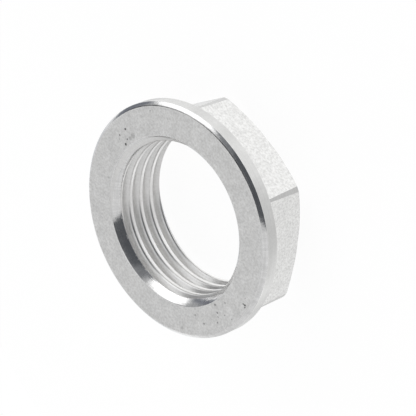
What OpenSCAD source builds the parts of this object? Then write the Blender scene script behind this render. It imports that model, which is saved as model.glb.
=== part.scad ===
// Axle lock nut: one piece of aluminium, turned from bar with a round flange, a threaded hole
// and a hexagon for the wrench. Millimetres. It lies on the hexagon's end, with Z along the hole
// and the flange's bearing face on top.

/* [Flange] */
// Diameter of the round flange
flange_d = 24.8; // [24.4:0.1:32]
// Height of the flange, from the hexagon to the bearing face
flange_h = 1.7; // [1.2:0.1:5]
// Chamfer at 45 degrees round the bearing face
flange_chamfer = 0.35; // [0.1:0.05:0.8]

/* [Hexagon] */
// Wrench size, across the flats
across_flats = 21; // [20:0.1:21.1]
// Height of the hexagon, from its end face to the flange
hex_h = 5.4; // [4:0.1:14]
// How far the turned corners stay inside the sharp hexagon, next to the flange
corner_cut_flange = 0.09; // [0.02:0.01:0.14]
// How far they stay inside it at the other end, where the lathe has cut deeper
corner_cut_end = 0.17; // [0.15:0.01:0.4]
// How far the round edge of the end face stands outside the middle of the flats
end_face_overhang = 0.1; // [-0.6:0.05:0.3]
// Angle of the chamfer that takes off the corners, measured from the end face
end_chamfer_angle = 30; // [15:1:45]

/* [Threaded hole] */
// Nominal diameter of the thread
thread_d = 18; // [16:0.5:19]
// Pitch of the thread
thread_pitch = 1.5; // [1:0.25:2]
// Depth of the 45 degree countersink at the bearing face
countersink_front = 0.78; // [0.2:0.02:1.2]
// Depth of the 45 degree countersink at the hexagon's end
countersink_end = 0.6; // [0.2:0.02:1.2]

/* [Hidden] */
$fn = 180;

nut_h = hex_h + flange_h;
flange_r = flange_d / 2;

// A hexagon's corner lies this much further out than the middle of its flats.
FLATS = 6;
corner_ratio = 1 / cos(180 / FLATS);
apothem = across_flats / 2;
sharp_corner_r = apothem * corner_ratio;

// Turned radii over the corners and the height of the chamfer that runs into them
corner_r_flange = sharp_corner_r - corner_cut_flange;
corner_r_end = sharp_corner_r - corner_cut_end;
end_face_r = apothem + end_face_overhang;
end_chamfer_h = (corner_r_end - end_face_r) * tan(end_chamfer_angle);

// The crests of a metric inside thread stand 5/8 of its sharp triangle in from the nominal radius.
triangle_h = thread_pitch * sqrt(3) / 2;
crest_r = thread_d / 2 - triangle_h * 5 / 8;

// Cutters run this far past the faces that they open.
past = 1;

// Outline of the turned blank, from the end face up to the bearing face
module blank_section() {
    polygon([
        [0, 0],
        [end_face_r, 0],
        [corner_r_end, end_chamfer_h],
        [corner_r_flange, hex_h],
        [flange_r, hex_h],
        [flange_r, nut_h - flange_chamfer],
        [flange_r - flange_chamfer, nut_h],
        [0, nut_h]
    ]);
}

// Outline of the hole at the thread's crests, with its two countersinks
module hole_section() {
    polygon([
        [0, -past],
        [crest_r + countersink_end + past, -past],
        [crest_r, countersink_end],
        [crest_r, nut_h - countersink_front],
        [crest_r + countersink_front + past, nut_h + past],
        [0, nut_h + past]
    ]);
}

// What the mill takes off beside one flat, up to the flange's rear face
module flat_cut() {
    translate([apothem, -flange_d / 2, -past])
        cube([flange_d / 2, flange_d, hex_h + past]);
}

// The nut: a turned blank with six milled flats and the hole through it
module lock_nut() {
    color([0.78, 0.78, 0.77])
    difference() {
        rotate_extrude() blank_section();
        for (i = [0 : FLATS - 1])
            rotate([0, 0, (i + 0.5) * 360 / FLATS]) flat_cut();
        rotate_extrude() hole_section();
    }
}

lock_nut();
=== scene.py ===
"""Dressed model of an axle lock nut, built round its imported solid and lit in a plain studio.

The nut is modelled as its maker makes it: turned from bar, milled to a hexagon, then threaded. Each
tool leaves its own finish. Modelling is in millimetres, and the finished mesh is brought to metres.
"""

import logging
import math
from dataclasses import dataclass, field
from enum import Enum

import bmesh
import bpy
from mathutils import Matrix, Vector

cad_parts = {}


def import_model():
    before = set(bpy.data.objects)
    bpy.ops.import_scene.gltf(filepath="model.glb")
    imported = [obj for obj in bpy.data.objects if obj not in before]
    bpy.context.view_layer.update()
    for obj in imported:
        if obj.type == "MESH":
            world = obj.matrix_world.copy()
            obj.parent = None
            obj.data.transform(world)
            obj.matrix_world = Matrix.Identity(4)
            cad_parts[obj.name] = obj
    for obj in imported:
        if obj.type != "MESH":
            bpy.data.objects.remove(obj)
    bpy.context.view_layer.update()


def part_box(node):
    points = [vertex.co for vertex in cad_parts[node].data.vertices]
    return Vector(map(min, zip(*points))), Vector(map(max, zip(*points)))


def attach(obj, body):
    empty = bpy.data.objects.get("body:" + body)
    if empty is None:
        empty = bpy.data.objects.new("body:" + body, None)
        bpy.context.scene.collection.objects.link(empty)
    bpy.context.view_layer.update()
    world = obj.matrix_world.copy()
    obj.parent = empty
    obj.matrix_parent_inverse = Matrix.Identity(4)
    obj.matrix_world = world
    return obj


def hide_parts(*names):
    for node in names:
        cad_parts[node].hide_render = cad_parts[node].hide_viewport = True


LOG = logging.getLogger("lock_nut")
NODE = "lock_nut"
MM = 0.001
MERGE_DISTANCE = 1e-4
NEAR = 1e-3
FULL_TURN = 2 * math.pi
FLATS = 6
NOISE_MEAN = 0.5
IMAGE_SIDE_PX = 416
SENSOR_MM = 36.0

BMesh = bmesh.types.BMesh
Vert = bmesh.types.BMVert
Edge = bmesh.types.BMEdge
Material = bpy.types.Material
Node = bpy.types.Node
NodeTree = bpy.types.NodeTree
Object = bpy.types.Object
Socket = bpy.types.NodeSocket
Colour = tuple[float, float, float]


class Finish(Enum):
    """The finishes on the nut, in the order of its material slots."""

    BEARING_FACE = 0
    BRIGHT_CHAMFER = 1
    TURNED_RIM = 2
    HEXAGON_CORNER = 3
    MILLED_FLAT = 4
    THREAD = 5
    END_FACE = 6


class Run(Enum):
    """The way in which a tool's fine marks are stacked up on a surface."""

    BY_RADIUS = 0.0
    BY_HEIGHT = 1.0


@dataclass(frozen=True)
class NutSizes:
    """The nut's sizes in millimetres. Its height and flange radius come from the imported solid."""

    height: float
    flange_radius: float
    flange_height: float = 1.7
    flange_chamfer: float = 0.35
    flange_chamfer_width: float = 0.39
    across_flats: float = 21.0
    corner_cut_flange: float = 0.09
    corner_cut_end: float = 0.17
    end_face_overhang: float = 0.1
    end_chamfer_angle: float = 30.0
    thread_radius: float = 9.0
    pitch: float = 1.5
    countersink_front: float = 0.78
    countersink_end: float = 0.6

    @classmethod
    def of_solid(cls, node: str) -> "NutSizes":
        """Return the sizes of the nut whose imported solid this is."""
        low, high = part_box(node)
        return cls(height=(high[2] - low[2]) / MM, flange_radius=(high[0] - low[0]) / 2 / MM)

    @property
    def hexagon_height(self) -> float:
        """Height of the hexagon, up to the flange."""
        return self.height - self.flange_height

    @property
    def chamfer_foot(self) -> float:
        """Height at which the flange's chamfer starts."""
        return self.height - self.flange_chamfer

    @property
    def face_radius(self) -> float:
        """Outer radius of the bearing face."""
        return self.flange_radius - self.flange_chamfer_width

    @property
    def sharp_corner_radius(self) -> float:
        """Radius of the hexagon's corners before they are turned."""
        return self.across_flats / 2 / math.cos(math.pi / FLATS)

    @property
    def corner_radius_flange(self) -> float:
        """Radius of the turned corners next to the flange."""
        return self.sharp_corner_radius - self.corner_cut_flange

    @property
    def corner_radius_end(self) -> float:
        """Radius of the turned corners at the chamfer of the hexagon's end."""
        return self.sharp_corner_radius - self.corner_cut_end

    @property
    def end_face_radius(self) -> float:
        """Outer radius of the hexagon's end face."""
        return self.across_flats / 2 + self.end_face_overhang

    @property
    def end_chamfer_height(self) -> float:
        """Height up to which the chamfer takes off the corners at the hexagon's end."""
        cut = self.corner_radius_end - self.end_face_radius
        return cut * math.tan(math.radians(self.end_chamfer_angle))

    @property
    def crest_radius(self) -> float:
        """Radius of the thread's crests, 5/8 of its sharp triangle in from the nominal one."""
        return self.thread_radius - self.pitch * math.sqrt(3) / 2 * 5 / 8

    @property
    def mouth_radius(self) -> float:
        """Radius of the hole's mouth in the bearing face."""
        return self.crest_radius + self.countersink_front


@dataclass(frozen=True)
class Corner:
    """A corner of the turned section, and the finish of the cut from it to the next one."""

    radius: float
    height: float
    finish: Finish
    edge_break: float


def on_section(radius: float, height: float) -> Vector:
    """Return the point of the lathe's section plane at this radius and height."""
    return Vector((radius, 0.0, height))


def direction(azimuth: float, elevation: float) -> Vector:
    """Turn an azimuth and an elevation into a direction.

    Args:
        azimuth: Degrees from +X towards +Y.
        elevation: Degrees up from the level.

    Returns:
        The unit vector that points there.
    """
    around = math.radians(azimuth)
    up = math.radians(elevation)
    return Vector((math.cos(around) * math.cos(up), math.sin(around) * math.cos(up), math.sin(up)))


def new_object(name: str, bm: BMesh, finishes: list[Material]) -> Object:
    """Turn a bmesh into an object in the scene.

    Args:
        name: Name of the object and its mesh.
        bm: The geometry, which is freed.
        finishes: One material per slot.

    Returns:
        The new object, at the origin.
    """
    mesh = bpy.data.meshes.new(name)
    bm.to_mesh(mesh)
    bm.free()
    for material in finishes:
        mesh.materials.append(material)
    obj = bpy.data.objects.new(name, mesh)
    bpy.context.scene.collection.objects.link(obj)
    return obj


@dataclass
class LatheWork:
    """The turned blank: the nut's section, spun round the hole's axis. Sizes in millimetres."""

    sizes: NutSizes
    pilot_radius: float = 8.0
    lead_in: float = 0.07
    lead_height: float = 0.75
    steps: int = 360
    break_segments: int = 3

    def section(self) -> list[Corner]:
        """List the section's corners, from the end face up the outside and down the hole.

        Returns:
            The corners, with the last one's cut running back to the first.
        """
        nut = self.sizes
        lead_radius = nut.crest_radius + self.lead_in
        lead_top = nut.height - nut.countersink_front + self.lead_in
        pilot_foot = nut.countersink_end + nut.crest_radius - self.pilot_radius
        return [
            Corner(nut.end_face_radius, 0.0, Finish.BRIGHT_CHAMFER, 0.03),
            Corner(nut.corner_radius_end, nut.end_chamfer_height, Finish.HEXAGON_CORNER, 0.05),
            Corner(nut.corner_radius_flange, nut.hexagon_height, Finish.TURNED_RIM, 0.0),
            Corner(nut.flange_radius, nut.hexagon_height, Finish.TURNED_RIM, 0.06),
            Corner(nut.flange_radius, nut.chamfer_foot, Finish.BRIGHT_CHAMFER, 0.02),
            Corner(nut.face_radius, nut.height, Finish.BEARING_FACE, 0.03),
            Corner(nut.mouth_radius, nut.height, Finish.BRIGHT_CHAMFER, 0.05),
            Corner(lead_radius, lead_top, Finish.THREAD, 0.16),
            Corner(self.pilot_radius, lead_top - self.lead_height, Finish.THREAD, 0.0),
            Corner(self.pilot_radius, pilot_foot, Finish.BRIGHT_CHAMFER, 0.0),
            Corner(nut.crest_radius + nut.countersink_end, 0.0, Finish.END_FACE, 0.03),
        ]

    def build(self) -> BMesh:
        """Spin the section, one cut after another, and break its edges.

        Returns:
            The closed blank, with each cut's finish on its faces.
        """
        bm = bmesh.new()
        corners = self.section()
        for start, end in zip(corners, corners[1:] + corners[:1]):
            ends = [bm.verts.new(on_section(c.radius, c.height)) for c in (start, end)]
            cut = bm.edges.new(ends)
            before = set(bm.faces)
            bmesh.ops.spin(
                bm,
                geom=ends + [cut],
                cent=(0, 0, 0),
                axis=(0, 0, 1),
                dvec=(0, 0, 0),
                angle=FULL_TURN,
                steps=self.steps,
                use_merge=True,
            )
            for face in set(bm.faces) - before:
                face.material_index = start.finish.value
        bmesh.ops.remove_doubles(bm, verts=bm.verts, dist=MERGE_DISTANCE)
        bmesh.ops.recalc_face_normals(bm, faces=bm.faces)
        for corner in corners:
            self.break_edge(bm, corner)
        return bm

    def break_edge(self, bm: BMesh, corner: Corner) -> None:
        """Round the circular edge at a corner of the section, where it has an edge break.

        Args:
            bm: The blank.
            corner: The corner, with the width of its edge break.
        """
        if not corner.edge_break:
            return
        ring = [
            edge
            for edge in bm.edges
            if all(
                abs(v.co.z - corner.height) < NEAR and abs(v.co.xy.length - corner.radius) < NEAR
                for v in edge.verts
            )
        ]
        bmesh.ops.bevel(
            bm,
            geom=ring,
            offset=corner.edge_break,
            offset_type="OFFSET",
            segments=self.break_segments,
            profile=0.5,
            affect="EDGES",
            material=-1,
        )


@dataclass
class HexagonMill:
    """The cutter that leaves the hexagon: all that the mill takes off beside the six flats."""

    sizes: NutSizes
    outer_apothem: float = 16.0
    below: float = 1.0
    level_share: float = 0.5

    def build(self) -> BMesh:
        """Raise the ring between a hexagonal hole and a wider hexagon, from below to the flange.

        Returns:
            The closed cutter, with the flats' finish on its upright faces.
        """
        bm = bmesh.new()
        outer_radius = self.outer_apothem / math.cos(math.pi / FLATS)
        rings = self.hexagon(bm, self.sizes.sharp_corner_radius) + self.hexagon(bm, outer_radius)
        bmesh.ops.bridge_loops(bm, edges=rings)
        base = list(bm.faces)
        bmesh.ops.translate(bm, vec=(0, 0, -self.below), verts=bm.verts)
        raised = bmesh.ops.extrude_face_region(bm, geom=base)
        tops = [part for part in raised["geom"] if isinstance(part, Vert)]
        bmesh.ops.translate(bm, vec=(0, 0, self.sizes.hexagon_height + self.below), verts=tops)
        bmesh.ops.recalc_face_normals(bm, faces=bm.faces)
        for face in bm.faces:
            level = abs(face.normal.z) > self.level_share
            face.material_index = (Finish.TURNED_RIM if level else Finish.MILLED_FLAT).value
        return bm

    def hexagon(self, bm: BMesh, radius: float) -> list[Edge]:
        """Draw a hexagon with a corner on the X axis.

        Args:
            bm: The cutter so far.
            radius: Radius of the hexagon's corners.

        Returns:
            Its edges, in a fixed order.
        """
        verts = bmesh.ops.create_circle(bm, segments=FLATS, radius=radius)["verts"]
        to_x = Matrix.Rotation(-math.atan2(verts[0].co.y, verts[0].co.x), 4, "Z")
        bmesh.ops.transform(bm, matrix=to_x, verts=verts)
        return list(dict.fromkeys(edge for vert in verts for edge in vert.link_edges))


@dataclass
class ThreadTap:
    """The tap: a threaded plug with the form of the inside thread, longer than the nut."""

    sizes: NutSizes
    crest_share: float = 0.34
    half_angle_deg: float = 30.0
    crest_round: float = 0.16
    root_round: float = 0.02
    round_segments: int = 4
    start_azimuth: float = 72.4
    start_height: float = 4.96
    margin_turns: int = 2
    steps_per_turn: int = 240

    def form(self) -> list[Vector]:
        """Work out the thread's form over one pitch, from a crest's middle to the next one's.

        Returns:
            Its six points: crest, crest corner, root corner, root corner, crest corner, crest.
        """
        crest = self.sizes.crest_radius
        root = self.sizes.thread_radius
        pitch = self.sizes.pitch
        half_crest = pitch * self.crest_share / 2
        flank_end = half_crest + (root - crest) * math.tan(math.radians(self.half_angle_deg))
        return [
            on_section(crest, 0),
            on_section(crest, half_crest),
            on_section(root, flank_end),
            on_section(root, pitch - flank_end),
            on_section(crest, pitch - half_crest),
            on_section(crest, pitch),
        ]

    def build(self) -> BMesh:
        """Sweep the form along its helix and close the ends.

        Returns:
            The closed plug.
        """
        pitch = self.sizes.pitch
        bm = bmesh.new()
        self.draw_form(bm)
        turns_below = math.ceil(self.start_height / pitch) + self.margin_turns
        above_start = self.sizes.height - self.start_height
        turns_above = math.ceil(above_start / pitch) + self.margin_turns
        foot = self.start_height - turns_below * pitch
        bmesh.ops.translate(bm, vec=(0, 0, foot), verts=bm.verts)
        to_start = Matrix.Rotation(math.radians(self.start_azimuth), 3, "Z")
        bmesh.ops.rotate(bm, cent=(0, 0, 0), matrix=to_start, verts=bm.verts)
        bmesh.ops.spin(
            bm,
            geom=list(bm.verts) + list(bm.edges),
            cent=(0, 0, 0),
            axis=(0, 0, 1),
            dvec=(0, 0, pitch / self.steps_per_turn),
            angle=FULL_TURN,
            steps=self.steps_per_turn,
            use_merge=False,
        )
        one_turn = list(bm.verts) + list(bm.edges) + list(bm.faces)
        for turn in range(1, turns_below + turns_above):
            copy = bmesh.ops.duplicate(bm, geom=one_turn)
            verts = [part for part in copy["geom"] if isinstance(part, Vert)]
            bmesh.ops.translate(bm, vec=(0, 0, turn * pitch), verts=verts)
        bmesh.ops.remove_doubles(bm, verts=bm.verts, dist=NEAR)
        self.close_ends(bm)
        bmesh.ops.recalc_face_normals(bm, faces=bm.faces)
        for face in bm.faces:
            face.material_index = Finish.THREAD.value
        return bm

    def draw_form(self, bm: BMesh) -> None:
        """Draw the thread's form as a chain of edges, with its corners rounded.

        Args:
            bm: The plug's empty bmesh.
        """
        points = [bm.verts.new(point) for point in self.form()]
        for pair in zip(points, points[1:]):
            bm.edges.new(pair)
        crest_corners = [points[1], points[4]]
        root_corners = [points[2], points[3]]
        for corners, size in ((crest_corners, self.crest_round), (root_corners, self.root_round)):
            bmesh.ops.bevel(
                bm,
                geom=corners,
                offset=size,
                offset_type="OFFSET",
                segments=self.round_segments,
                profile=0.5,
                affect="VERTICES",
                material=-1,
            )

    def close_ends(self, bm: BMesh) -> None:
        """Close both open ends of the plug, each with a cone of faces to a point on the axis.

        Args:
            bm: The plug, open at both ends.
        """
        low = min(v.co.z for v in bm.verts)
        high = max(v.co.z for v in bm.verts)
        middle = (low + high) / 2
        open_edges = [edge for edge in bm.edges if edge.is_boundary]
        below = [edge for edge in open_edges if edge.verts[0].co.z < middle]
        above = [edge for edge in open_edges if edge.verts[0].co.z >= middle]
        for rim, height in ((below, low), (above, high)):
            grown = bmesh.ops.extrude_edge_only(bm, edges=rim)
            tips = [part for part in grown["geom"] if isinstance(part, Vert)]
            bmesh.ops.pointmerge(bm, verts=tips, merge_co=(0, 0, height))


@dataclass
class LockNut:
    """The whole nut, from the blank to the dressed piece."""

    sizes: NutSizes
    flat_edge_break: float = 0.04
    flat_break_segments: int = 2
    smooth_below_deg: float = 28.0
    face_weight: int = 100

    def build(self, finishes: list[Material]) -> Object:
        """Make the nut's mesh: turn it, mill it, tap it and break the edges of its flats.

        Args:
            finishes: One material per finish, in the order of Finish.

        Returns:
            The nut, in metres, at the origin.
        """
        nut = new_object("nut", LatheWork(self.sizes).build(), finishes)
        cutters = [
            new_object("mill", HexagonMill(self.sizes).build(), finishes),
            new_object("tap", ThreadTap(self.sizes).build(), finishes),
        ]
        nut.data = self.carved(nut, cutters)
        for cutter in cutters:
            bpy.data.objects.remove(cutter)
        self.break_flats(nut.data)
        nut.data.transform(Matrix.Scale(MM, 4))
        nut.data.shade_smooth()
        nut.data.set_sharp_from_angle(angle=math.radians(self.smooth_below_deg))
        nut.data = self.evenly_shaded(nut)
        LOG.info("%s: %d faces", nut.name, len(nut.data.polygons))
        return nut

    def carved(self, blank: Object, cutters: list[Object]) -> bpy.types.Mesh:
        """Take the cutters' shapes off the blank, one after another.

        Args:
            blank: The turned blank, which keeps its own mesh.
            cutters: The shapes that the tools take off.

        Returns:
            The mesh that is left.
        """
        for cutter in cutters:
            boolean = blank.modifiers.new(cutter.name, "BOOLEAN")
            boolean.operation = "DIFFERENCE"
            boolean.solver = "MANIFOLD"
            boolean.object = cutter
            boolean.material_mode = "INDEX"
        return self.applied(blank)

    def evenly_shaded(self, nut: Object) -> bpy.types.Mesh:
        """Let the normals follow the large faces, so that small edge breaks stay small.

        Args:
            nut: The nut, with its sharp edges marked.

        Returns:
            The mesh with its new normals.
        """
        weighted = nut.modifiers.new("weighted", "WEIGHTED_NORMAL")
        weighted.keep_sharp = True
        weighted.weight = self.face_weight
        return self.applied(nut)

    def applied(self, obj: Object) -> bpy.types.Mesh:
        """Make a mesh of an object with its modifiers, and take the modifiers off.

        Args:
            obj: The object.

        Returns:
            The new mesh.
        """
        evaluated = obj.evaluated_get(bpy.context.evaluated_depsgraph_get())
        mesh = bpy.data.meshes.new_from_object(evaluated)
        obj.modifiers.clear()
        return mesh

    def break_flats(self, mesh: bpy.types.Mesh) -> None:
        """Take the sharpness off the flats' edges, where they meet turned surfaces.

        Args:
            mesh: The carved nut, in millimetres, which is changed in place.
        """
        turned = {
            Finish.HEXAGON_CORNER.value,
            Finish.BRIGHT_CHAMFER.value,
            Finish.END_FACE.value,
        }
        bm = bmesh.new()
        bm.from_mesh(mesh)
        edges = []
        for edge in bm.edges:
            beside = {face.material_index for face in edge.link_faces}
            if Finish.MILLED_FLAT.value in beside and beside & turned:
                edges.append(edge)
        bmesh.ops.bevel(
            bm,
            geom=edges,
            offset=self.flat_edge_break,
            offset_type="OFFSET",
            segments=self.flat_break_segments,
            profile=0.5,
            affect="EDGES",
            clamp_overlap=True,
            material=Finish.MILLED_FLAT.value,
        )
        bm.to_mesh(mesh)
        bm.free()


class Wiring:
    """Adds nodes to one shader tree and joins their sockets."""

    def __init__(self, tree: NodeTree) -> None:
        """Keep the tree that the nodes go into."""
        self.tree = tree

    def node(self, kind: str, **settings: object) -> Node:
        """Add a node.

        Args:
            kind: The node's type name.
            **settings: Its properties.

        Returns:
            The new node.
        """
        made = self.tree.nodes.new(kind)
        for name, value in settings.items():
            setattr(made, name, value)
        return made

    def feed(self, socket: Socket, source: object) -> None:
        """Join an output to a socket, or write a plain value into it.

        Args:
            socket: The input that is fed.
            source: An output, a number, a colour or a vector.
        """
        if isinstance(source, Socket):
            self.tree.links.new(source, socket)
        else:
            socket.default_value = source

    def maths(self, operation: str, *sources: object, clamp: bool = False) -> Socket:
        """Add a Math node.

        Args:
            operation: What it does.
            *sources: One to three numbers or outputs.
            clamp: Whether the result stays between 0 and 1.

        Returns:
            Its result.
        """
        made = self.node("ShaderNodeMath", operation=operation, use_clamp=clamp)
        for socket, source in zip(made.inputs, sources):
            self.feed(socket, source)
        return made.outputs[0]

    def vectors(self, operation: str, *sources: object) -> Node:
        """Add a Vector Math node.

        Args:
            operation: What it does.
            *sources: One or two vectors or outputs.

        Returns:
            The node, which has a vector and a value among its outputs.
        """
        made = self.node("ShaderNodeVectorMath", operation=operation)
        for socket, source in zip(made.inputs, sources):
            self.feed(socket, source)
        return made

    def scaled(self, vector: object, scale: object) -> Socket:
        """Multiply a vector by a number.

        Args:
            vector: A vector, a colour or an output.
            scale: A number or an output.

        Returns:
            The product.
        """
        made = self.vectors("SCALE", vector)
        self.feed(made.inputs["Scale"], scale)
        return made.outputs["Vector"]

    def ramp(self, source: object, start: float, end: float, low: object, high: object) -> Socket:
        """Add a smooth step of a value.

        Args:
            source: The value.
            start: Where the step begins.
            end: Where it ends.
            low: The result up to the start.
            high: The result from the end on.

        Returns:
            The stepped value.
        """
        made = self.node("ShaderNodeMapRange", interpolation_type="SMOOTHSTEP")
        names = ("Value", "From Min", "From Max", "To Min", "To Max")
        for name, value in zip(names, (source, start, end, low, high)):
            self.feed(made.inputs[name], value)
        return made.outputs["Result"]

    def noise(self, vector: object, scale: object, detail: float = 2.0) -> Socket:
        """Add a noise texture.

        Args:
            vector: Where it is read.
            scale: Its fineness.
            detail: How many finer layers it has.

        Returns:
            The noise, from 0 to 1 round its mean.
        """
        made = self.node("ShaderNodeTexNoise")
        self.feed(made.inputs["Vector"], vector)
        self.feed(made.inputs["Scale"], scale)
        made.inputs["Detail"].default_value = detail
        return made.outputs["Fac"]

    def mixed(self, share: object, first: object, second: object) -> Socket:
        """Mix two colours.

        Args:
            share: 0 for the first colour, 1 for the second.
            first: A colour or an output.
            second: A colour or an output.

        Returns:
            The mix.
        """
        made = self.node("ShaderNodeMixRGB")
        for name, value in (("Fac", share), ("Color1", first), ("Color2", second)):
            self.feed(made.inputs[name], value)
        return made.outputs["Color"]

    def across(self, vector: object) -> tuple[Socket, Socket]:
        """Split a point's place into its part across the hole's axis and its height.

        Args:
            vector: The point.

        Returns:
            The part across the axis, as a vector, and the height.
        """
        parts = self.node("ShaderNodeSeparateXYZ")
        self.feed(parts.inputs[0], vector)
        flat = self.node("ShaderNodeCombineXYZ")
        self.feed(flat.inputs["X"], parts.outputs["X"])
        self.feed(flat.inputs["Y"], parts.outputs["Y"])
        return flat.outputs[0], parts.outputs["Z"]

    def empty_mask(self) -> Socket:
        """Return a mask that is 0 everywhere."""
        return self.maths("MULTIPLY", 0.0, 0.0)


@dataclass(frozen=True)
class Effect:
    """A shader node group that several finishes share."""

    name: str
    inputs: dict[str, str]
    outputs: tuple[str, ...]

    def new_group(self) -> tuple[NodeTree, Wiring, Node, Node]:
        """Make the group with its sockets, and nothing between them.

        Returns:
            The group, its wiring, and its input and output nodes.
        """
        group = bpy.data.node_groups.new(self.name, "ShaderNodeTree")
        for name, kind in self.inputs.items():
            socket_type = f"NodeSocket{kind}"
            group.interface.new_socket(name=name, in_out="INPUT", socket_type=socket_type)
        for name in self.outputs:
            group.interface.new_socket(name=name, in_out="OUTPUT", socket_type="NodeSocketFloat")
        wiring = Wiring(group)
        return group, wiring, wiring.node("NodeGroupInput"), wiring.node("NodeGroupOutput")


def fine_grain() -> NodeTree:
    """Build the effect of a matt surface: a fine speckle over a cloudy ground.

    Returns:
        The group, which puts out both of them round one half.
    """
    effect = Effect(
        "fine_grain",
        {"Vector": "Vector", "Grain": "Float", "Cloud": "Float"},
        ("Speckle", "Clouding"),
    )
    group, wiring, given, result = effect.new_group()
    speckle = wiring.noise(given.outputs["Vector"], given.outputs["Grain"], detail=3.0)
    cloud = wiring.noise(given.outputs["Vector"], given.outputs["Cloud"], detail=4.0)
    wiring.feed(result.inputs["Speckle"], speckle)
    wiring.feed(result.inputs["Clouding"], cloud)
    return group


def turning_marks() -> NodeTree:
    """Build the effect of a lathe tool: fine rings, and dull and bright streaks from chatter.

    Returns:
        The group, which puts out both of them round one half.
    """
    effect = Effect(
        "turning_marks",
        {"Vector": "Vector", "Rings": "Float", "Run": "Float", "Streaks": "Float"},
        ("Ring", "Streak"),
    )
    group, wiring, given, result = effect.new_group()
    outward, height = wiring.across(given.outputs["Vector"])
    radius = wiring.vectors("LENGTH", outward).outputs["Value"]
    way = wiring.vectors("NORMALIZE", outward).outputs["Vector"]
    rise = wiring.maths("SUBTRACT", height, radius)
    along = wiring.maths("MULTIPLY", given.outputs["Run"], rise)
    place = wiring.maths("ADD", radius, along)
    stretched = wiring.node("ShaderNodeCombineXYZ")
    wiring.feed(stretched.inputs["Z"], wiring.maths("MULTIPLY", place, given.outputs["Rings"]))
    slow_change = wiring.vectors("ADD", stretched.outputs[0], way).outputs["Vector"]
    ring = wiring.noise(slow_change, 1.0, detail=3.0)
    streak = wiring.noise(way, given.outputs["Streaks"], detail=3.0)
    wiring.feed(result.inputs["Ring"], ring)
    wiring.feed(result.inputs["Streak"], streak)
    return group


def pit() -> NodeTree:
    """Build the effect of one small pit, with a ragged edge.

    Returns:
        The group, which puts out a mask round the pit's centre.
    """
    effect = Effect(
        "pit",
        {"Vector": "Vector", "Centre": "Vector", "Radius": "Float", "Ragged": "Float"},
        ("Mask",),
    )
    group, wiring, given, result = effect.new_group()
    wobble = wiring.noise(given.outputs["Vector"], given.outputs["Ragged"], detail=1.0)
    away = wiring.vectors("DISTANCE", given.outputs["Vector"], given.outputs["Centre"])
    share = wiring.maths("DIVIDE", away.outputs["Value"], given.outputs["Radius"])
    uneven = wiring.maths("ADD", share, wiring.maths("SUBTRACT", wobble, NOISE_MEAN))
    mask = wiring.ramp(uneven, start=0.45, end=1.0, low=1.0, high=0.0)
    wiring.feed(result.inputs["Mask"], mask)
    return group


def edge_wear_and_painted_reflection() -> NodeTree:
    """Build a broken line along a round edge, which finishes use for edges rubbed bright by
    handling and for a painted dark reflection.

    Returns:
        The group, which puts out the line's mask.
    """
    effect = Effect(
        "edge_wear_and_painted_reflection",
        {
            "Vector": "Vector",
            "Edge Radius": "Float",
            "Edge Height": "Float",
            "Width": "Float",
            "Breaks": "Float",
            "Towards": "Vector",
            "Least Share": "Float",
        },
        ("Mask",),
    )
    group, wiring, given, result = effect.new_group()
    outward, height = wiring.across(given.outputs["Vector"])
    radius = wiring.vectors("LENGTH", outward).outputs["Value"]
    place = wiring.node("ShaderNodeCombineXYZ")
    from_edge = wiring.maths("SUBTRACT", radius, given.outputs["Edge Radius"])
    above_edge = wiring.maths("SUBTRACT", height, given.outputs["Edge Height"])
    wiring.feed(place.inputs["X"], from_edge)
    wiring.feed(place.inputs["Y"], above_edge)
    away = wiring.vectors("LENGTH", place.outputs[0])
    share = wiring.maths("DIVIDE", away.outputs["Value"], given.outputs["Width"])
    near = wiring.ramp(share, start=0.0, end=1.0, low=1.0, high=0.0)
    breaks = wiring.noise(given.outputs["Vector"], given.outputs["Breaks"])
    broken = wiring.ramp(breaks, start=0.36, end=0.56, low=0.0, high=1.0)
    ahead = wiring.vectors("DOT_PRODUCT", outward, given.outputs["Towards"]).outputs["Value"]
    ahead_share = wiring.maths("DIVIDE", ahead, radius)
    inside = wiring.maths("SUBTRACT", ahead_share, given.outputs["Least Share"])
    reached = wiring.ramp(inside, start=0.0, end=0.15, low=0.0, high=1.0)
    shown = wiring.maths("MULTIPLY", broken, reached)
    wiring.feed(result.inputs["Mask"], wiring.maths("MULTIPLY", near, shown))
    return group


@dataclass
class EffectShelf:
    """The shared effects, each built once."""

    grain: NodeTree = field(default_factory=fine_grain)
    turning: NodeTree = field(default_factory=turning_marks)
    pit: NodeTree = field(default_factory=pit)
    wear_and_painted_lines: NodeTree = field(default_factory=edge_wear_and_painted_reflection)


@dataclass(frozen=True)
class Pit:
    """A small pit or nick, by its place across the hole's axis, in millimetres."""

    x: float
    y: float
    radius: float
    depth: float = 1.0


@dataclass(frozen=True)
class WornOrPaintedEdge:
    """A round edge that is rubbed bright, or that carries a painted dark reflection, in millimetres
    and degrees.
    """

    radius: float
    height: float
    width: float = 0.12
    azimuth: float = 0.0
    reach: float = 180.0
    all_round: float = 180.0
    under_any_cosine: float = -2.0

    @property
    def least_share(self) -> float:
        """Cosine of the reach to either side of the azimuth, or less than any cosine all round."""
        partly = self.reach < self.all_round
        return math.cos(math.radians(self.reach)) if partly else self.under_any_cosine


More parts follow.
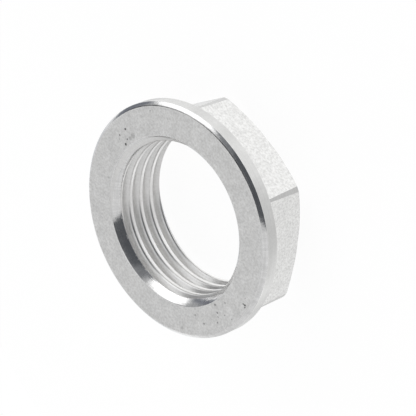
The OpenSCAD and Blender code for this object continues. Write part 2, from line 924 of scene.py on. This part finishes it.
@dataclass(frozen=True)
class MetalFinish:
    """How one tool leaves the aluminium. Scales are marks per metre, tones shares of the colour."""

    name: str
    colour: Colour
    roughness: float
    grain: float = 5200.0
    grain_tone: float = 0.1
    cloud: float = 700.0
    cloud_tone: float = 0.05
    rings: float = 9000.0
    run: Run = Run.BY_RADIUS
    ring_tone: float = 0.04
    streaks: float = 40.0
    streak_tone: float = 0.0
    roughness_spread: float = 0.06
    bump: float = 0.1
    bump_distance: float = 0.02
    pits: tuple[Pit, ...] = ()
    pit_height: float = 0.0
    pit_raggedness: float = 9000.0
    pit_tone: float = -0.75
    pit_dulling: float = 0.3
    pit_relief: float = 4.0
    worn_and_painted_edges: tuple[WornOrPaintedEdge, ...] = ()
    wear_and_painted_tone: float = 0.1
    wear_dulling: float = -0.08
    wear_and_painted_breaks: float = 900.0

    def build(self, shelf: EffectShelf) -> Material:
        """Make the material.

        Args:
            shelf: The shared effects.

        Returns:
            The finished material.
        """
        material = bpy.data.materials.new(self.name)
        material.use_nodes = True
        wiring = Wiring(material.node_tree)
        shader = material.node_tree.nodes["Principled BSDF"]
        shader.inputs["Metallic"].default_value = 1.0
        place = wiring.node("ShaderNodeTexCoord").outputs["Object"]
        grain = self.placed(wiring, shelf.grain, place, Grain=self.grain, Cloud=self.cloud)
        turning = self.placed(
            wiring,
            shelf.turning,
            place,
            Rings=self.rings,
            Run=self.run.value,
            Streaks=self.streaks,
        )
        pitted = self.pitted(wiring, shelf, place)
        worn_and_painted = self.worn_and_painted(wiring, shelf, place)

        tone = wiring.maths("MULTIPLY_ADD", pitted, self.pit_tone, 1.0)
        for source, spread in (
            (grain.outputs["Speckle"], self.grain_tone),
            (grain.outputs["Clouding"], self.cloud_tone),
            (turning.outputs["Ring"], self.ring_tone),
            (turning.outputs["Streak"], self.streak_tone),
        ):
            around_one = wiring.maths("MULTIPLY_ADD", source, 2 * spread, 1.0 - spread)
            tone = wiring.maths("MULTIPLY", tone, around_one)
        # Edge lines with a positive tone are rubbed bright; a negative tone paints a dark line, a
        # painted dark reflection.
        tone = wiring.maths("MULTIPLY_ADD", worn_and_painted, self.wear_and_painted_tone, tone)
        wiring.feed(shader.inputs["Base Color"], wiring.scaled(self.colour, tone))

        uneven = wiring.maths("SUBTRACT", grain.outputs["Clouding"], NOISE_MEAN)
        rough = wiring.maths("MULTIPLY_ADD", uneven, self.roughness_spread, self.roughness)
        rough = wiring.maths("MULTIPLY_ADD", worn_and_painted, self.wear_dulling, rough)
        rough = wiring.maths("MULTIPLY_ADD", pitted, self.pit_dulling, rough, clamp=True)
        wiring.feed(shader.inputs["Roughness"], rough)

        relief = wiring.maths("ADD", grain.outputs["Speckle"], turning.outputs["Ring"])
        hollow = wiring.maths("MULTIPLY", pitted, self.pit_relief)
        bump = wiring.node("ShaderNodeBump")
        bump.inputs["Strength"].default_value = self.bump
        bump.inputs["Distance"].default_value = self.bump_distance * MM
        wiring.feed(bump.inputs["Height"], wiring.maths("SUBTRACT", relief, hollow))
        wiring.feed(shader.inputs["Normal"], bump.outputs["Normal"])
        return material

    def placed(self, wiring: Wiring, group: NodeTree, place: Socket, **values: object) -> Node:
        """Place a shared effect in the material, with this finish's own values.

        Args:
            wiring: The material's wiring.
            group: The effect.
            place: The surface's Object coordinates.
            **values: The effect's other inputs, with an underscore for each space.

        Returns:
            The effect's node.
        """
        made = wiring.node("ShaderNodeGroup", node_tree=group)
        wiring.feed(made.inputs["Vector"], place)
        for name, value in values.items():
            wiring.feed(made.inputs[name.replace("_", " ")], value)
        return made

    def pitted(self, wiring: Wiring, shelf: EffectShelf, place: Socket) -> Socket:
        """Lay out all this finish's pits.

        Args:
            wiring: The material's wiring.
            shelf: The shared effects.
            place: The surface's Object coordinates.

        Returns:
            The mask of the pits.
        """
        mask = wiring.empty_mask()
        for mark in self.pits:
            made = self.placed(
                wiring,
                shelf.pit,
                place,
                Centre=Vector((mark.x, mark.y, self.pit_height)) * MM,
                Radius=mark.radius * MM,
                Ragged=self.pit_raggedness,
            )
            deep = wiring.maths("MULTIPLY", made.outputs["Mask"], mark.depth)
            mask = wiring.maths("MAXIMUM", mask, deep)
        return mask

    def worn_and_painted(self, wiring: Wiring, shelf: EffectShelf, place: Socket) -> Socket:
        """Lay out all this finish's edges rubbed bright and its painted dark reflections on edges.

        Args:
            wiring: The material's wiring.
            shelf: The shared effects.
            place: The surface's Object coordinates.

        Returns:
            The mask of those edge lines.
        """
        mask = wiring.empty_mask()
        for edge in self.worn_and_painted_edges:
            made = self.placed(
                wiring,
                shelf.wear_and_painted_lines,
                place,
                Edge_Radius=edge.radius * MM,
                Edge_Height=edge.height * MM,
                Width=edge.width * MM,
                Breaks=self.wear_and_painted_breaks,
                Towards=direction(edge.azimuth, 0.0),
                Least_Share=edge.least_share,
            )
            mask = wiring.maths("MAXIMUM", mask, made.outputs["Mask"])
        return mask


FACE_PITS = (
    Pit(10.24, -2.67, 0.15),
    Pit(10.38, -1.50, 0.12, 0.8),
    Pit(10.15, -1.13, 0.07, 0.7),
    Pit(9.42, -2.00, 0.12, 0.8),
    Pit(9.24, -1.38, 0.19),
    Pit(9.12, -2.95, 0.40, 0.3),
    Pit(9.20, -2.45, 0.28, 0.3),
    Pit(9.11, -7.04, 0.08, 0.7),
    Pit(8.76, 3.57, 0.22, 0.18),
    Pit(-11.48, -0.93, 0.15),
    Pit(-11.26, -0.86, 0.11),
    Pit(-11.62, -0.72, 0.11),
    Pit(-11.03, -1.57, 0.08, 0.5),
    Pit(-9.01, 2.43, 0.14, 0.8),
    Pit(-9.71, 2.88, 0.13, 0.75),
    Pit(-10.05, 3.16, 0.09, 0.7),
    Pit(-10.40, 3.70, 0.13, 0.7),
    Pit(-10.50, 2.24, 0.10, 0.6),
    Pit(-9.70, 1.12, 0.10, 0.6),
    Pit(-11.33, 1.78, 0.10, 0.6),
    Pit(-8.01, 5.65, 0.16, 0.4),
    Pit(-9.35, 5.39, 0.14, 0.65),
    Pit(-7.79, 8.37, 0.25, 0.25),
)


def metal_finishes(sizes: NutSizes) -> dict[Finish, MetalFinish]:
    """Say how each tool has left its part of the nut.

    Args:
        sizes: The nut's sizes, which place the pits and the worn edges.

    Returns:
        The finishes.
    """
    outer_edge = WornOrPaintedEdge(sizes.face_radius, sizes.height)
    mouth_edge = WornOrPaintedEdge(sizes.mouth_radius, sizes.height)
    # Painted dark reflection: the chamfer is darkened along its inner edge, from azimuth -116 to
    # -16, standing in for the reflection of the room's dark side.
    painted_dark_reflection_edge = WornOrPaintedEdge(sizes.face_radius, sizes.height, width=0.17, azimuth=-66.0, reach=50.0)
    rim_edges = (
        WornOrPaintedEdge(sizes.flange_radius, sizes.chamfer_foot),
        WornOrPaintedEdge(sizes.flange_radius, sizes.hexagon_height),
    )
    return {
        Finish.BEARING_FACE: MetalFinish(
            name="bearing_face",
            colour=(0.825, 0.825, 0.82),
            roughness=0.42,
            grain=4600.0,
            grain_tone=0.3,
            cloud_tone=0.14,
            ring_tone=0.02,
            bump=0.35,
            pits=FACE_PITS,
            pit_height=sizes.height,
            worn_and_painted_edges=(outer_edge, mouth_edge),
        ),
        Finish.BRIGHT_CHAMFER: MetalFinish(
            name="bright_chamfer",
            colour=(0.87, 0.87, 0.87),
            roughness=0.14,
            grain=2600.0,
            grain_tone=0.12,
            cloud=900.0,
            cloud_tone=0.16,
            ring_tone=0.16,
            streak_tone=0.18,
            bump=0.3,
            worn_and_painted_edges=(painted_dark_reflection_edge,),
            # This tone paints the chamfer's edge line dark, as a painted dark reflection.
            wear_and_painted_tone=-1.0,
            wear_and_painted_breaks=0.0,
        ),
        Finish.TURNED_RIM: MetalFinish(
            name="turned_rim",
            colour=(0.73, 0.73, 0.722),
            roughness=0.32,
            run=Run.BY_HEIGHT,
            ring_tone=0.1,
            streaks=5.0,
            streak_tone=0.16,
            bump=0.3,
            worn_and_painted_edges=rim_edges,
            wear_and_painted_tone=0.2,
        ),
        Finish.HEXAGON_CORNER: MetalFinish(
            name="hexagon_corner",
            colour=(0.66, 0.66, 0.655),
            roughness=0.36,
            run=Run.BY_HEIGHT,
            ring_tone=0.12,
            bump=0.3,
        ),
        Finish.MILLED_FLAT: MetalFinish(
            name="milled_flat",
            colour=(0.875, 0.875, 0.865),
            roughness=0.4,
            grain=4800.0,
            grain_tone=0.36,
            cloud=900.0,
            cloud_tone=0.1,
            ring_tone=0.0,
            bump=0.25,
        ),
        Finish.THREAD: MetalFinish(
            name="thread",
            colour=(0.875, 0.872, 0.865),
            roughness=0.29,
            run=Run.BY_HEIGHT,
            rings=6000.0,
            ring_tone=0.12,
            streak_tone=0.08,
            bump=0.25,
        ),
        Finish.END_FACE: MetalFinish(
            name="end_face",
            colour=(0.8, 0.8, 0.795),
            roughness=0.38,
            ring_tone=0.1,
            bump=0.3,
        ),
    }


@dataclass
class ViewCamera:
    """The camera, at the place and turn that the photograph's perspective gives."""

    position_mm: tuple[float, float, float] = (-59.166, -146.065, 148.19)
    view_azimuth: float = -112.04
    view_elevation: float = 42.86
    roll: float = 112.23
    focal_px: float = 2107.23
    clip_start: float = 0.01
    clip_end: float = 20.0

    def build(self) -> Object:
        """Make the camera and give it to the scene.

        Returns:
            The camera.
        """
        data = bpy.data.cameras.new("view_camera")
        data.sensor_width = SENSOR_MM
        data.lens = self.focal_px * SENSOR_MM / IMAGE_SIDE_PX
        data.clip_start = self.clip_start
        data.clip_end = self.clip_end
        camera = bpy.data.objects.new("view_camera", data)
        level = direction(self.view_azimuth, self.view_elevation).to_track_quat("Z", "Y")
        turned = level.to_matrix().to_4x4() @ Matrix.Rotation(math.radians(-self.roll), 4, "Z")
        camera.matrix_world = Matrix.Translation(Vector(self.position_mm) * MM) @ turned
        bpy.context.scene.collection.objects.link(camera)
        bpy.context.scene.camera = camera
        return camera


@dataclass(frozen=True)
class Panel:
    """A soft-edged panel in the room, by the direction in which the nut sees it, in degrees."""

    azimuth: float
    elevation: float
    half_width: float
    half_height: float
    tone: Colour
    soft: float = 6.0

    def mask(self, wiring: Wiring, way: Socket) -> Socket:
        """Work out how much of the panel shows in a direction.

        Args:
            wiring: The shader tree that the nodes go into.
            way: The direction, as a unit vector.

        Returns:
            A share from 0 to 1.
        """
        turned = wiring.node("ShaderNodeVectorRotate", rotation_type="Z_AXIS")
        wiring.feed(turned.inputs["Vector"], way)
        turned.inputs["Angle"].default_value = -math.radians(self.azimuth)
        parts = wiring.node("ShaderNodeSeparateXYZ")
        wiring.feed(parts.inputs[0], turned.outputs[0])
        around = wiring.maths("ARCTAN2", parts.outputs["Y"], parts.outputs["X"])
        up = wiring.maths("ARCSINE", parts.outputs["Z"])
        offsets = (around, wiring.maths("SUBTRACT", up, math.radians(self.elevation)))
        masks = []
        for offset, half in zip(offsets, (self.half_width, self.half_height)):
            start = math.radians(half - self.soft / 2)
            end = math.radians(half + self.soft / 2)
            away = wiring.maths("ABSOLUTE", offset)
            masks.append(wiring.ramp(away, start, end, low=1.0, high=0.0))
        return wiring.maths("MULTIPLY", *masks)


@dataclass
class Studio:
    """A pale room with a softbox, a ceiling, a dark side behind the camera, and a white table.

    The nut sees the room's floor in place of the table, which shows its shadow to the camera. The
    first panel of the floor is the whole of it, and the others are the shades that lie on it.
    """

    room: Colour = (0.67, 0.67, 0.67)
    walls: tuple[Panel, ...] = (
        Panel(-63.0, 79.0, 50.0, 11.0, (1.05, 1.05, 1.05), 8.0),
        Panel(20.5, 16.0, 15.5, 30.0, (0.36, 0.365, 0.37), 8.0),
        Panel(21.5, -2.0, 13.5, 14.0, (0.17, 0.18, 0.205), 6.0),
        Panel(-23.0, 26.5, 26.5, 16.5, (1.3, 1.3, 1.3), 6.0),
        Panel(9.0, 38.0, 9.0, 12.0, (0.06, 0.06, 0.065), 6.0),
        Panel(-62.0, 35.0, 13.5, 23.0, (0.19, 0.196, 0.206), 12.0),
        Panel(-92.0, 36.0, 20.0, 25.0, (0.085, 0.09, 0.098), 8.0),
        Panel(-126.0, 37.0, 22.5, 27.0, (0.083, 0.087, 0.095), 6.0),
    )
    floor: tuple[Panel, ...] = (
        Panel(0.0, -90.0, 190.0, 80.0, (1.0, 1.0, 1.0), 6.0),
        Panel(-152.0, -45.0, 44.0, 40.0, (0.74, 0.74, 0.74), 24.0),
        Panel(62.0, -45.0, 22.0, 40.0, (0.63, 0.64, 0.66), 20.0),
        Panel(112.0, -45.0, 20.0, 40.0, (0.8, 0.8, 0.8), 12.0),
    )
    table_radius: float = 45.0
    table_segments: int = 128
    table_tone: float = 0.9
    table_roughness: float = 0.9
    table_white_share: float = 0.85
    table_white: float = 1.08

    def build(self) -> Object:
        """Make the room and the table.

        Returns:
            The table.
        """
        world = bpy.data.worlds.new("studio")
        bpy.context.scene.world = world
        world.use_nodes = True
        wiring = Wiring(world.node_tree)
        way = wiring.node("ShaderNodeTexCoord").outputs["Generated"]
        tone: object = (*self.room, 1.0)
        for panel in self.walls + self.floor:
            tone = wiring.mixed(panel.mask(wiring, way), tone, (*panel.tone, 1.0))
        seen = wiring.node("ShaderNodeLightPath").outputs["Is Camera Ray"]
        background = world.node_tree.nodes["Background"]
        wiring.feed(background.inputs["Color"], wiring.mixed(seen, tone, (1, 1, 1, 1)))
        return self.table()

    def table(self) -> Object:
        """Make the table, which is white to the camera and lets the floor's light past itself.

        Returns:
            The table, which is no part of the nut.
        """
        bm = bmesh.new()
        bmesh.ops.create_circle(
            bm, cap_ends=True, segments=self.table_segments, radius=self.table_radius * MM
        )
        material = bpy.data.materials.new("pale_table")
        material.use_nodes = True
        wiring = Wiring(material.node_tree)
        shader = material.node_tree.nodes["Principled BSDF"]
        shader.inputs["Base Color"].default_value = (*[self.table_tone] * 3, 1.0)
        shader.inputs["Roughness"].default_value = self.table_roughness
        shader.inputs["Specular IOR Level"].default_value = 0.0
        glow = wiring.node("ShaderNodeEmission")
        glow.inputs["Strength"].default_value = self.table_white
        seen = wiring.node("ShaderNodeLightPath").outputs["Is Camera Ray"]
        mix = wiring.node("ShaderNodeMixShader")
        wiring.feed(mix.inputs["Fac"], wiring.maths("MULTIPLY", seen, self.table_white_share))
        wiring.feed(mix.inputs[1], shader.outputs[0])
        wiring.feed(mix.inputs[2], glow.outputs[0])
        surface = material.node_tree.nodes["Material Output"].inputs["Surface"]
        wiring.feed(surface, mix.outputs[0])
        table = new_object("table", bm, [material])
        table.visible_glossy = False
        table.visible_shadow = False
        return table


def main() -> None:
    """Build the camera, the studio and the nut, attach the nut to the root body and hide the
    imported solid.
    """
    logging.basicConfig(level=logging.INFO, format="%(message)s")
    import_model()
    bpy.context.scene.view_settings.view_transform = "Standard"
    ViewCamera().build()
    Studio().build()
    sizes = NutSizes.of_solid(NODE)
    shelf = EffectShelf()
    looks = metal_finishes(sizes)
    finishes = [looks[finish].build(shelf) for finish in Finish]
    nut = LockNut(sizes).build(finishes)
    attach(nut, "root")
    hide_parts(NODE)


if __name__ == "__main__":
    main()
